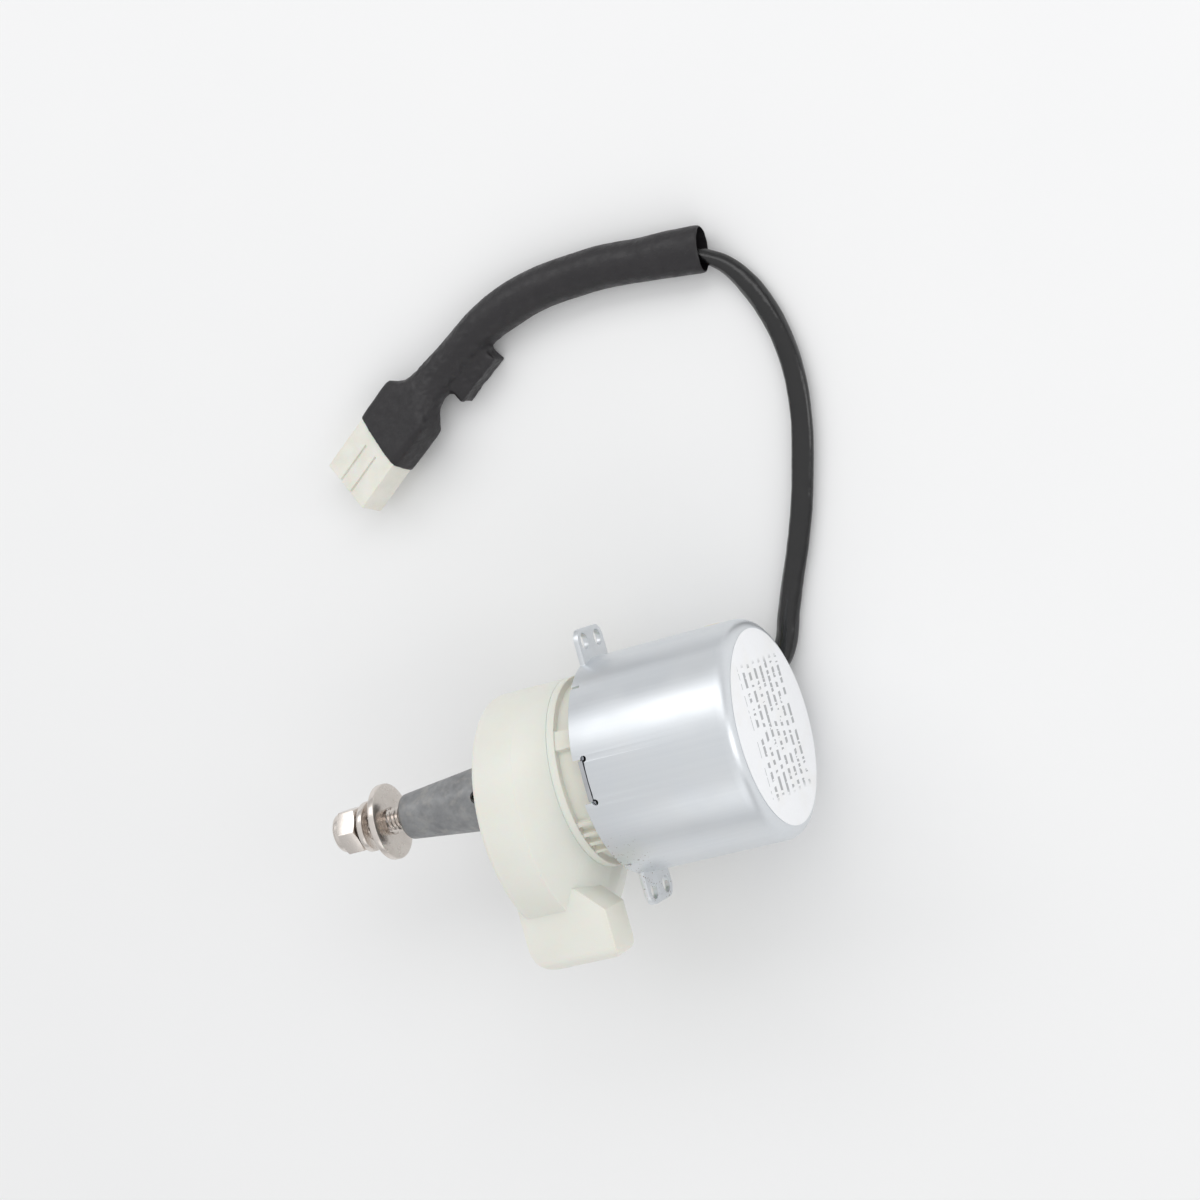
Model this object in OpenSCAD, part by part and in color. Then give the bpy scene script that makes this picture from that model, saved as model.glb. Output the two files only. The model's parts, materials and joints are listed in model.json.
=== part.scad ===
// Geared synchronous motor: 50 mm tin-can motor, plastic output housing, pinned taper spindle, short lead.
// Origin on the motor axis in the plane of the can's open rim, +X towards the spindle tip, +Z up.
// The motor lies on its side, and the lead lies on the same surface, at z = floor_z.

/* [Motor can] */
// Outer diameter of the drawn can
can_d = 50; // [49:0.5:51]
// Length of the can from its open rim to its closed end
can_len = 38; // [37.5:0.5:39]
// Sheet thickness of the can
can_sheet = 0.8; // [0.6:0.1:1]
// Outer radius of the edge at the closed end
can_edge_r = 3; // [2:0.5:4]
// Diameter of the paper label
label_d = 44.5; // [40:0.5:45]

/* [Ears] */
// Distance between the hole rows of the two ears
ear_span = 58; // [57:0.5:60]
// Distance between the two holes of one ear
ear_hole_gap = 7.4; // [7:0.1:8]
// Radius of an ear hole
ear_hole_r = 1.9; // [1.6:0.1:2]
// Width of an ear
ear_w = 14; // [14:0.5:16]
// Thickness of an ear
ear_t = 1.2; // [1:0.1:1.5]

/* [Gearbox] */
// Radius of the fixed gear pins
pin_r = 0.75; // [0.6:0.05:0.8]
// Radial running clearance of every turning part
run_gap = 0.05; // [0.03:0.01:0.08]
// Pressure angle of the teeth
tooth_angle = 25; // [24:1:26]
// Tooth height above the pitch circle, in modules
addendum = 0.8; // [0.7:0.05:0.8]
// Tooth depth below the pitch circle, in modules
dedendum = 1.05; // [1:0.05:1.1]
// How much each tooth flank is set back at the pitch circle
flank_gap = 0.035; // [0.03:0.005:0.05]

/* [Housing] */
// Radius of the round front shell
shell_r = 27.8; // [27.5:0.1:28.5]
// Distance from the motor axis to the centre of the shell, along Y
shell_y = 5.8; // [5.5:0.1:6]
// Front face of the shell
shell_front = 25; // [24.5:0.5:26]
// Where the shell reaches its full radius behind its front
flare_front = 14.5; // [13.5:0.5:16]
// Rear edge of the shell
shell_rear = 7.3; // [7:0.1:8]
// Radius of the shell's front edge
shell_edge_r = 1.2; // [0.8:0.1:2]
// Wall thickness of the plastic housing
wall = 2.4; // [2:0.1:2.6]
// Radius of the shell's rear edge
drum_r = 22; // [21.5:0.1:22.2]
// Rear face of the housing's back disc
drum_rear = 5.3; // [5:0.1:6]
// Radius of the neck between the back disc and the motor
neck_r = 20.3; // [20:0.1:21]

/* [Spindle] */
// Largest radius of the taper, at the housing
taper_big_r = 8.7; // [8.4:0.1:8.8]
// Radius of the taper at its tip
taper_small_r = 5.4; // [5:0.1:5.8]
// Position of the taper's tip along the axis
taper_tip = 56; // [54:0.5:58]
// Radius of the output shaft
shaft_r = 3.5; // [3.2:0.1:3.6]
// Position of the roll pin along the axis
roll_pin_x = 33.7; // [32:0.1:36]
// Outer radius of the roll pin
roll_pin_r = 1.5; // [1.2:0.1:1.6]
// Thread radius of the stud
stud_r = 2.95; // [2.9:0.01:3]
// Width of the nut across its flats
nut_flats = 10; // [9.8:0.1:10]

/* [Lead] */
// Half of the width of the flattened sleeve
sleeve_half_w = 2.7; // [2.5:0.1:3]
// Half of the thickness of the flattened sleeve
sleeve_half_h = 2; // [1.9:0.1:2.1]
// Half of the width of the heat-shrink tube over the wires
shrink_half_w = 5.1; // [5:0.1:5.4]
// Half of the thickness of the heat-shrink tube over the wires
shrink_half_h = 4.5; // [4.4:0.1:4.6]
// Width of the connector across its poles
connector_w = 16; // [15:0.5:16.5]
// Thickness of the connector
connector_t = 6.6; // [6:0.1:6.8]
// Length of the connector
connector_len = 24.5; // [23:0.5:25.5]

/* [Hidden] */
$fn = 72;

can_r = can_d / 2;
can_bore = can_r - can_sheet;
can_end = -can_len;
floor_z = -shell_r;
label_t = 0.15;
eps = 0.01;

// Rim notch for the tab of the front plate, and the two small slits in the rim
notch_half_w = 4.9;
notch_depth = 2.6;
notch_relief_r = 0.7;
slit_w = 0.8;
slit_depth = 2;
slit_angles = [-53, 57];

// Plates of the gearbox, [rear face, thickness]
front_plate_x = [-2.4, 1];
gear_plate_x = [-16.2, 1.2];
plate_gap = 0.05;

// Gear train. Each gear has [teeth, module, rear face, face width].
rotor_teeth = [12, 0.4, -14.6, 2.2];
first_wheel = [48, 0.4, -14.5, 2];
first_pinion = [10, 0.45, -12.5, 2.6];
second_wheel = [44, 0.45, -12, 2];
second_pinion = [10, 0.48, -10, 2.6];
third_wheel = [38, 0.48, -9.5, 2];
third_pinion = [10, 0.66, -7.5, 2.9];
output_wheel = [28, 0.66, -7.1, 2.6];

function pitch_r(gear) = gear[0] * gear[1] / 2;
function angle_between(side_a, side_b, opposite) =
    acos((side_a * side_a + side_b * side_b - opposite * opposite) / (2 * side_a * side_b));

// Polar places of the three gear pins round the motor axis
first_dist = pitch_r(rotor_teeth) + pitch_r(first_wheel);
second_dist = 12.5;
third_dist = pitch_r(third_pinion) + pitch_r(output_wheel);
first_to_second = pitch_r(first_pinion) + pitch_r(second_wheel);
second_to_third = pitch_r(second_pinion) + pitch_r(third_wheel);
first_angle = 90;
second_angle = first_angle + angle_between(first_dist, second_dist, first_to_second);
third_angle = second_angle + angle_between(second_dist, third_dist, second_to_third);
first_at = first_dist * [cos(first_angle), sin(first_angle)];
second_at = second_dist * [cos(second_angle), sin(second_angle)];
third_at = third_dist * [cos(third_angle), sin(third_angle)];

function heading(from, to) = atan2(to[1] - from[1], to[0] - from[0]);

// Screws that hold the housing to the front plate
screw_ring_r = 16.5;
screw_angles = [30, 150, 270];
screw_r = 1.5;
screw_head_r = 2.8;
screw_head_t = 2;

// Lug on the side of the shell: [x, y, z] of its low and high corners
lug_low = [5.3, 23, 7];
lug_high = [26.2, 40.2, 17.5];
lug_edge_r = 3;
lug_front_r = 6;
lug_rear_r = 2;
lug_cut = 6;

// Axial stations of the output side
shaft_rear = -7.3;
shaft_front = 42;
hub_rear = 13.5;
taper_start = shell_front;
stud_rear = 43.5;
stud_tip = 73.9;
flat_washer_x = [60.2, 1.6];
spring_washer_x = [64.2, 67.8];
spring_wire = [2.8, 1.6];
nut_x = [67.8, 72.6, 74.5];
nut_collar_r = 4.7;
roll_pin_angle = 9.5;
roll_pin_half_len = 7.6;

// Lead: the cap on the underside of the can, the route of the lead and the sections of the heat-shrink
cap_x = [-27, -22.8];
cap_r = 28.4;
cap_angle = 38;
cap_half_angle = 25;
lead_z = floor_z + sleeve_half_h + 0.05;
shrink_z = floor_z + shrink_half_h + 0.05;
lead_route = [
    [-27, -12, -24.4], [-31, -12, -24.6], [-34.5, -13, -25.1], [-37, -17, -25.6], [-39, -22.5, lead_z],
    [-42, -29.5, lead_z], [-45.5, -37, lead_z], [-49, -45.5, lead_z], [-52, -54.5, lead_z],
    [-54.5, -63.5, lead_z], [-55.8, -72.5, lead_z], [-55.6, -81, lead_z], [-54, -89, lead_z],
    [-51, -96.5, lead_z], [-47, -102.5, -25.2], [-42, -106, -24.2], [-36, -108, shrink_z],
    [-28, -109.8, shrink_z], [-19, -111, shrink_z], [-10, -111.2, shrink_z], [-1, -110.8, shrink_z],
    [7, -109.2, shrink_z], [15, -106.4, shrink_z], [23, -102, shrink_z], [30, -97.5, shrink_z],
    [37, -93, shrink_z]
];

// Heat-shrink stations: [x, y, z, half width, half thickness, squareness, roll]
connector_roll = 20;
connector_z = -21.9;
block_half_w = connector_w / 2 + 0.6;
block_half_h = connector_t / 2 + 0.6;
shrink_stations = [
    [-44, -107.2, shrink_z, 5.9, 4.2, 1, 0],
    [-36, -108.3, shrink_z, 5.5, shrink_half_h, 1, 0],
    [-28, -109.2, shrink_z, shrink_half_w, shrink_half_h, 1, 0],
    [-19, -110.4, shrink_z, shrink_half_w, shrink_half_h, 1, 0],
    [-10, -110.6, shrink_z, shrink_half_w, shrink_half_h, 1, 0],
    [-1, -110.2, shrink_z, shrink_half_w, shrink_half_h, 1, 0],
    [7, -108.5, shrink_z, shrink_half_w, shrink_half_h, 1, 0],
    [15, -105.7, shrink_z, 5, 4.4, 1, 0],
    [23, -101.3, shrink_z, 5, 4.2, 1, 0],
    [30, -97, -22.8, 5.8, 4, 0.9, 10],
    [35, -94, connector_z, block_half_w, block_half_h, 0.45, connector_roll],
    [46.5, -86.1, connector_z, block_half_w, block_half_h, 0.45, connector_roll]
];
section_sides = 12;

// Capacitor: centre, heading about +Z, and [length, width, thickness]
capacitor_at = [21.7, -98.8, -24.6];
capacitor_heading = 33;
capacitor_size = [13, 11, 5.6];

// Connector: middle of its rear face and its heading
connector_at = [37.7, -92.2, connector_z];
connector_heading = 34.5;
pole_count = 3;
pole_pitch = 4.5;
pole_half = 1.7;
pole_depth = 9;

// ---- shared shapes ----

module along_x() {
    rotate([0, 90, 0]) children();
}

// Point list of an arc in a profile
function arc(centre, radius, from, to, steps = 8) = [
    for (i = [0:steps])
        let (angle = from + (to - from) * i / steps)
        centre + radius * [cos(angle), sin(angle)]
];

// Cylinder or ring on the motor axis, offset sideways by at
module ring(outer, inner, rear, length, at = [0, 0]) {
    along_x() translate([at[0], at[1], rear]) difference() {
        cylinder(r = outer, h = length);
        if (inner > 0) translate([0, 0, -1]) cylinder(r = inner, h = length + 2);
    }
}

// Involute gear outline with a tooth centred on angle 0
function involute(angle) = tan(angle) * 180 / PI - angle;
function tooth_half_angle(gear, radius) =
    let (base = pitch_r(gear) * cos(tooth_angle))
    let (flank = radius > base ? acos(base / radius) : 0)
    90 / gear[0] - flank_gap / pitch_r(gear) * 180 / PI + involute(tooth_angle) - involute(flank);

function gear_outline(gear) =
    let (root = pitch_r(gear) - dedendum * gear[1])
    let (tip = pitch_r(gear) + addendum * gear[1])
    let (base = pitch_r(gear) * cos(tooth_angle))
    let (low = max(root + 0.02, base))
    let (radii = concat([root], [for (i = [0:4]) low + (tip - low) * i / 4]))
    [for (tooth = [0:gear[0] - 1])
        for (side = [-1, 1])
            for (i = [0:len(radii) - 1])
                let (radius = radii[side < 0 ? i : len(radii) - 1 - i])
                let (angle = 360 * tooth / gear[0] + side * tooth_half_angle(gear, radius))
                radius * [cos(angle), sin(angle)]];

module toothed_disc(gear, phase) {
    translate([0, 0, gear[2]]) rotate([0, 0, phase])
        linear_extrude(height = gear[3]) polygon(gear_outline(gear));
}

// Compound gear: a wheel with a tooth gap towards its driver, and a pinion with a tooth towards its wheel
module compound_gear(wheel, pinion, at, driver_at, driven_at) {
    gap_phase = heading(at, driver_at) + 180 / wheel[0];
    along_x() translate([at[0], at[1], 0]) difference() {
        union() {
            toothed_disc(wheel, gap_phase);
            toothed_disc(pinion, heading(at, driven_at));
        }
        translate([0, 0, wheel[2] - 1]) cylinder(r = pin_r + run_gap, h = wheel[3] + pinion[3] + 2);
    }
}

// Frames along a route, and the tube swept along it
function unit(v) = v / norm(v);
function at_station(route, i) = [route[i][0], route[i][1], route[i][2]];
function route_tangent(route, i) =
    unit(at_station(route, min(i + 1, len(route) - 1)) - at_station(route, max(i - 1, 0)));
function squared(value, power) = sign(value) * pow(abs(value), power);
function section_ring(route, i, half_w, half_h, power, roll) =
    let (forward = route_tangent(route, i))
    let (side = unit(cross([0, 0, 1], forward)))
    let (up = cross(forward, side))
    let (across = side * cos(roll) + up * sin(roll))
    let (above = up * cos(roll) - side * sin(roll))
    [for (k = [0:section_sides - 1])
        let (angle = 360 * (k + 0.5) / section_sides)
        at_station(route, i)
            + across * half_w * squared(cos(angle), power)
            + above * half_h * squared(sin(angle), power)];

module swept_tube(rings) {
    sides = len(rings[0]);
    last = len(rings) - 1;
    points = [for (ring_points = rings) for (point = ring_points) point];
    walls = [for (i = [0:last - 1]) for (k = [0:sides - 1]) for (half = [0, 1])
        half == 0
            ? [i * sides + k, i * sides + (k + 1) % sides, (i + 1) * sides + k]
            : [i * sides + (k + 1) % sides, (i + 1) * sides + (k + 1) % sides, (i + 1) * sides + k]];
    rear_cap = [for (k = [1:sides - 2]) [0, k + 1, k]];
    front_cap = [for (k = [1:sides - 2]) [last * sides, last * sides + k, last * sides + k + 1]];
    outward = [for (face = concat(walls, rear_cap, front_cap)) [face[2], face[1], face[0]]];
    polyhedron(points = points, faces = outward);
}

// ---- motor can and its outside ----

module ear() {
    foot_y = can_r - can_sheet - 0.5;
    hole_y = ear_span / 2;
    corner = 3;
    tip_y = hole_y + corner;
    difference() {
        rotate([90, 0, 90]) translate([0, 0, -ear_t]) linear_extrude(height = ear_t) {
            translate([foot_y, -ear_w / 2]) square([hole_y - foot_y, ear_w]);
            translate([foot_y, -ear_w / 2 + corner]) square([tip_y - foot_y, ear_w - 2 * corner]);
            for (side = [-1, 1]) translate([hole_y, side * (ear_w / 2 - corner)]) circle(r = corner);
        }
        for (side = [-1, 1])
            translate([0, hole_y, side * ear_hole_gap / 2]) along_x()
                cylinder(r = ear_hole_r, h = 3 * ear_t, center = true);
        // keeps the inside of the can clear
        along_x() cylinder(r = can_bore, h = 3 * ear_t, center = true);
    }
}

module can_shell() {
    inner_edge = can_edge_r - can_sheet;
    outside = concat([[0, can_end]], arc([can_r - can_edge_r, can_end + can_edge_r], can_edge_r, -90, 0));
    inside = arc([can_bore - inner_edge, can_end + can_sheet + inner_edge], inner_edge, 0, -90);
    profile = concat(outside, [[can_r, 0], [can_bore, 0]], inside, [[0, can_end + can_sheet]]);
    along_x() rotate_extrude() polygon(profile);
}

module motor_can() {
    color("silver") difference() {
        union() {
            can_shell();
            for (turn = [0, 180]) rotate([turn, 0, 0]) ear();
        }
        translate([-notch_depth, -notch_half_w, can_bore - 4]) cube([notch_depth + 1, 2 * notch_half_w, 8]);
        for (side = [-1, 1])
            translate([-notch_depth, side * notch_half_w, can_bore - 4]) cylinder(r = notch_relief_r, h = 8);
        for (angle = slit_angles)
            rotate([-angle, 0, 0]) translate([-slit_depth, -slit_w / 2, can_bore - 2])
                cube([slit_depth + 1, slit_w, 4]);
    }
}

module label_disc() {
    color("white") ring(label_d / 2, 0, can_end - label_t, label_t);
}

// ---- gearbox ----

module pin_holes(plate) {
    for (at = [first_at, second_at, third_at])
        along_x() translate([at[0], at[1], plate[0] - 1]) cylinder(r = pin_r, h = plate[1] + 2);
}

post_r = 1.6;
post_ring_r = 20.5;
post_angles = [160, 235, 310];

module post_holes(plate) {
    for (angle = post_angles)
        rotate([angle, 0, 0]) along_x() translate([0, post_ring_r, plate[0] - 1])
            cylinder(r = post_r / 2, h = plate[1] + 2);
}

module front_plate() {
    tab_half_w = notch_half_w - 0.3;
    color("lightgray") difference() {
        union() {
            ring(can_bore - plate_gap, 0, front_plate_x[0], front_plate_x[1]);
            translate([front_plate_x[0], -tab_half_w, 10])
                cube([front_plate_x[1], 2 * tab_half_w, can_r - 10]);
        }
        along_x() translate([0, 0, front_plate_x[0] - 1]) cylinder(r = bush_r, h = front_plate_x[1] + 2);
        pin_holes(front_plate_x);
        post_holes(front_plate_x);
        for (angle = screw_angles)
            rotate([angle, 0, 0]) along_x() translate([0, screw_ring_r, front_plate_x[0] - 1])
                cylinder(r = screw_r, h = front_plate_x[1] + 2);
    }
}

rotor_bush_r = 2.4;
rotor_shaft_r = 1;

module gear_plate() {
    color("lightgray") difference() {
        ring(can_bore - plate_gap, rotor_bush_r, gear_plate_x[0], gear_plate_x[1]);
        pin_holes(gear_plate_x);
        post_holes(gear_plate_x);
    }
}

module plate_posts() {
    gap_rear = gear_plate_x[0] + gear_plate_x[1];
    color("gainsboro") for (angle = post_angles) rotate([angle, 0, 0]) {
        ring(post_r, 0, gap_rear, front_plate_x[0] - gap_rear, [0, post_ring_r]);
        ring(post_r / 2, 0, gear_plate_x[0], front_plate_x[0] + front_plate_x[1] - gear_plate_x[0],
            [0, post_ring_r]);
    }
}

module gear_pins() {
    pin_len = front_plate_x[0] + front_plate_x[1] - gear_plate_x[0];
    color("gainsboro") for (at = [first_at, second_at, third_at])
        ring(pin_r, 0, gear_plate_x[0], pin_len, at);
}

module gear_first() {
    color("ivory") compound_gear(first_wheel, first_pinion, first_at, [0, 0], second_at);
}

module gear_second() {
    color("ivory") compound_gear(second_wheel, second_pinion, second_at, first_at, third_at);
}

module gear_third() {
    color("silver") compound_gear(third_wheel, third_pinion, third_at, second_at, [0, 0]);
}

module output_gear() {
    gap_phase = heading([0, 0], third_at) + 180 / output_wheel[0];
    color("silver") along_x() difference() {
        toothed_disc(output_wheel, gap_phase);
        translate([0, 0, output_wheel[2] - 1]) cylinder(r = shaft_r, h = output_wheel[3] + 2);
    }
}

bush_r = 5.5;
bush_front = 3.5;

module output_bush() {
    color("darkgoldenrod") ring(bush_r, shaft_r + run_gap, output_wheel[2] + output_wheel[3] + 0.3,
        bush_front - output_wheel[2] - output_wheel[3] - 0.3);
}

// ---- stator and rotor ----

stator_r = can_bore - 0.1;
pole_r = 11;
pole_t = 0.8;
claw_count = 6;
coil_rear_x = [-36.3, 9.2];
coil_front_x = [-26.5, 9.2];
claw_len = 7.6;
claw_w = 3.4;
claw_inset = 0.1;

// One claw-pole plate: a ring with a row of claws bent along the bore, to +X (way = 1) or to -X (way = -1)
module claw_plate(rear, thickness, way, turn, outer = stator_r) {
    color("dimgray") {
        ring(outer, pole_r, rear, thickness);
        for (i = [0:claw_count - 1]) rotate([turn + 360 * i / claw_count, 0, 0])
            translate([way > 0 ? rear : rear - claw_len, -claw_w / 2, pole_r + claw_inset])
                cube([claw_len + thickness, claw_w, pole_t]);
    }
}

module stator_claw_rear() {
    claw_plate(coil_rear_x[0] - pole_t, pole_t, 1, 0, can_bore - 1.7);
}

module stator_claw_middle_rear() {
    claw_plate(coil_rear_x[0] + coil_rear_x[1], 0.3, -1, 30);
}

module stator_claw_middle_front() {
    claw_plate(coil_front_x[0] - 0.3, 0.3, 1, 15);
}

module stator_claw_front() {
    claw_plate(coil_front_x[0] + coil_front_x[1], pole_t, -1, 45);
}

bobbin_bore = pole_r + pole_t + 0.3;
bobbin_core_r = bobbin_bore + 1;
bobbin_flange_t = 0.9;
bobbin_flange_r = 23.5;
winding_r = 22.3;

module bobbin(span) {
    color("white") {
        ring(bobbin_core_r, bobbin_bore, span[0], span[1]);
        for (rear = [span[0], span[0] + span[1] - bobbin_flange_t])
            ring(bobbin_flange_r, bobbin_bore, rear, bobbin_flange_t);
    }
}

module winding(span) {
    color("peru") ring(winding_r, bobbin_core_r, span[0] + bobbin_flange_t, span[1] - 2 * bobbin_flange_t);
}

module bobbin_rear() {
    bobbin(coil_rear_x);
}

module bobbin_front() {
    bobbin(coil_front_x);
}

module winding_rear() {
    winding(coil_rear_x);
}

module winding_front() {
    winding(coil_front_x);
}

rotor_x = [-35.6, 17.6];
rotor_r = pole_r - 0.5;
magnet_bore = 7;
rotor_bush_x = can_end + can_sheet;

module rotor_magnet() {
    color("dimgray") ring(rotor_r, magnet_bore, rotor_x[0], rotor_x[1]);
}

module rotor_hub() {
    web_t = 6;
    color("white") {
        ring(magnet_bore, magnet_bore - 1, rotor_x[0], rotor_x[1]);
        ring(magnet_bore - 0.5, rotor_shaft_r, rotor_x[0] + 6, web_t);
        ring(2.2, rotor_shaft_r, rotor_x[0] + 2, rotor_x[1] - 2);
    }
}

module rotor_shaft() {
    shaft_start = rotor_bush_x + 0.3;
    color("gainsboro") ring(rotor_shaft_r, 0, shaft_start, rotor_teeth[2] + rotor_teeth[3] - shaft_start);
}

module rotor_pinion() {
    color("goldenrod") along_x() difference() {
        toothed_disc(rotor_teeth, heading([0, 0], first_at));
        translate([0, 0, rotor_teeth[2] - 1]) cylinder(r = rotor_shaft_r, h = rotor_teeth[3] + 2);
    }
}

module rotor_bush_rear() {
    color("darkgoldenrod") ring(3, rotor_shaft_r + run_gap, rotor_bush_x, 2.4);
}

module rotor_bush_front() {
    bush_rear = gear_plate_x[0] - 0.6;
    bush_len = rotor_teeth[2] - 0.2 - bush_rear;
    color("darkgoldenrod") ring(rotor_bush_r, rotor_shaft_r + run_gap, bush_rear, bush_len);
}

// ---- plastic housing ----

// Round body of the front shell with its rounded front edge, or its hollow when inset is the wall thickness
module shell_form(inset) {
    front = shell_front - inset;
    radius = shell_r - inset;
    edge = max(shell_edge_r - inset, 0.3);
    profile = concat(
        [[0, front]],
        arc([radius - edge, front - edge], edge, 90, 0, 6),
        [[radius, flare_front], [0, flare_front]]);
    translate([0, shell_y, 0]) along_x() rotate_extrude() polygon(profile);
}

// Flare from the rear edge, which is centred on the motor axis, to the round body, which is not
module flare_form(inset, rear) {
    sheet = 0.1;
    hull() {
        ring(drum_r - inset, 0, rear, sheet);
        translate([0, shell_y, 0]) ring(shell_r - inset, 0, flare_front, sheet);
    }
}

// Rounded in plan at both lower corners, cut off at its rear upper one, and rounded along its two long edges
module lug() {
    width = lug_high[1] - lug_low[1];
    height = lug_high[2] - lug_low[2];
    across = concat(
        [[0, 0]],
        arc([width - lug_edge_r, lug_edge_r], lug_edge_r, -90, 0, 5),
        arc([width - lug_edge_r, height - lug_edge_r], lug_edge_r, 0, 90, 5),
        [[0, height]]);
    plan = concat(
        [[lug_high[0], lug_low[1]]],
        arc([lug_high[0] - lug_front_r, lug_high[1] - lug_front_r], lug_front_r, 0, 90, 6),
        arc([lug_low[0] + lug_rear_r, lug_high[1] - lug_rear_r], lug_rear_r, 90, 180, 4),
        [[lug_low[0], lug_low[1] + lug_cut], [lug_low[0] + lug_cut, lug_low[1]]]);
    intersection() {
        translate(lug_low) rotate([90, 0, 90])
            linear_extrude(height = lug_high[0] - lug_low[0]) polygon(across);
        translate([0, 0, lug_low[2]]) linear_extrude(height = height) polygon(plan);
    }
}

bearing_r = 11;
bearing_x = [13.8, 9];
holder_wall = 2;
holder_r = bearing_r + holder_wall;

module housing_front() {
    color("ivory") difference() {
        union() {
            difference() {
                union() {
                    shell_form(0);
                    flare_form(0, shell_rear);
                    lug();
                }
                shell_form(wall);
                flare_form(wall, shell_rear - eps);
            }
            ring(holder_r, 0, bearing_x[0], shell_front - wall / 2 - bearing_x[0]);
        }
        ring(bearing_r, 0, bearing_x[0] - 1, bearing_x[1] + 1);
        ring(taper_big_r + 0.4, 0, bearing_x[0], shell_front);
    }
}

web_x = [4, 2.3];
web_bore = 10;
rib_rear = 0.8;

// Ribs on the neck: [angle about the axis, width]
neck_ribs = [[117, 4.5], [64, 1], [56, 1], [48, 1], [40, 1], [200, 4.5], [300, 4.5]];

module housing_back() {
    neck_rear = front_plate_x[0] + front_plate_x[1];
    color("ivory") difference() {
        union() {
            ring(drum_r, 0, drum_rear, shell_rear - drum_rear);
            ring(neck_r, 0, neck_rear, drum_rear - neck_rear + 1);
            for (rib = neck_ribs) rotate([rib[0], 0, 0])
                translate([rib_rear, neck_r - 1, -rib[1] / 2])
                    cube([drum_rear - rib_rear + 1, drum_r - neck_r + 0.6, rib[1]]);
        }
        difference() {
            ring(neck_r - wall, 0, neck_rear - 1, web_x[0] - neck_rear + 1);
            for (angle = screw_angles) rotate([angle, 0, 0])
                ring(3.4, 0, neck_rear - 2, web_x[0] - neck_rear + 3, [0, screw_ring_r]);
        }
        ring(drum_r - wall, 0, web_x[0] + web_x[1], shell_rear - web_x[0] - web_x[1] + 1);
        ring(web_bore, 0, web_x[0] - 1, web_x[1] + 2);
        for (angle = screw_angles) rotate([angle, 0, 0])
            ring(screw_r + 0.1, 0, neck_rear - 1, web_x[0] + web_x[1] - neck_rear + 2, [0, screw_ring_r]);
    }
}

module housing_screws() {
    head_rear = web_x[0] + web_x[1];
    screw_rear = front_plate_x[0] - 1.2;
    color("silver") for (angle = screw_angles) rotate([angle, 0, 0]) {
        ring(screw_r, 0, screw_rear, head_rear - screw_rear + eps, [0, screw_ring_r]);
        ring(screw_head_r, 0, head_rear, screw_head_t, [0, screw_ring_r]);
    }
}

// ---- output side ----

module output_shaft() {
    color("gainsboro") difference() {
        ring(shaft_r, 0, shaft_rear, shaft_front - shaft_rear);
        translate([roll_pin_x, 0, 0]) rotate([roll_pin_angle, 0, 0])
            cylinder(r = roll_pin_r, h = 3 * taper_big_r, center = true);
    }
}

module spindle_bush() {
    color("white") ring(bearing_r, taper_big_r + run_gap, bearing_x[0], bearing_x[1] - 0.2);
}

module spindle() {
    tip_round = 1;
    lead_in = 0.5;
    profile = concat(
        [[0, hub_rear], [taper_big_r - lead_in, hub_rear], [taper_big_r, hub_rear + lead_in]],
        [[taper_big_r, taper_start]],
        arc([taper_small_r - tip_round, taper_tip - tip_round], tip_round, 6, 90, 5),
        [[0, taper_tip]]);
    color("gray") difference() {
        along_x() rotate_extrude() polygon(profile);
        along_x() translate([0, 0, hub_rear - 1]) cylinder(r = shaft_r, h = shaft_front - hub_rear + 1);
        along_x() translate([0, 0, shaft_front]) cylinder(r = stud_r, h = taper_tip - shaft_front + 1);
        translate([roll_pin_x, 0, 0]) rotate([roll_pin_angle, 0, 0])
            cylinder(r = roll_pin_r, h = 3 * taper_big_r, center = true);
    }
}

module roll_pin() {
    pin_wall = 0.45;
    slit = 0.5;
    color("dimgray") translate([roll_pin_x, 0, 0]) rotate([roll_pin_angle, 0, 0]) difference() {
        cylinder(r = roll_pin_r, h = 2 * roll_pin_half_len, center = true);
        cylinder(r = roll_pin_r - pin_wall, h = 3 * roll_pin_half_len, center = true);
        translate([0, -slit / 2, -2 * roll_pin_half_len]) cube([2 * roll_pin_r, slit, 4 * roll_pin_half_len]);
    }
}

module stud() {
    chamfer = 0.6;
    profile = [
        [0, stud_rear], [stud_r - chamfer, stud_rear], [stud_r, stud_rear + chamfer],
        [stud_r, stud_tip - chamfer], [stud_r - chamfer, stud_tip], [0, stud_tip]
    ];
    color("silver") along_x() rotate_extrude() polygon(profile);
}

module flat_washer() {
    color("silver") ring(9, 3.2, flat_washer_x[0], flat_washer_x[1]);
}

// Split ring whose two ends stand apart along the axis
module spring_washer() {
    inner = 3.15;
    steps = 24;
    turn = 345;
    start = 150;
    rise = spring_washer_x[1] - spring_washer_x[0] - spring_wire[1];
    rings = [for (i = [0:steps])
        let (angle = start + turn * i / steps)
        let (low = spring_washer_x[0] + rise * i / steps)
        [for (corner = [[0, 0], [1, 0], [1, 1], [0, 1]])
            let (radius = inner + spring_wire[0] * corner[0])
            [low + spring_wire[1] * corner[1], radius * sin(angle), radius * cos(angle)]]];
    color("silver") swept_tube(rings);
}

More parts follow.
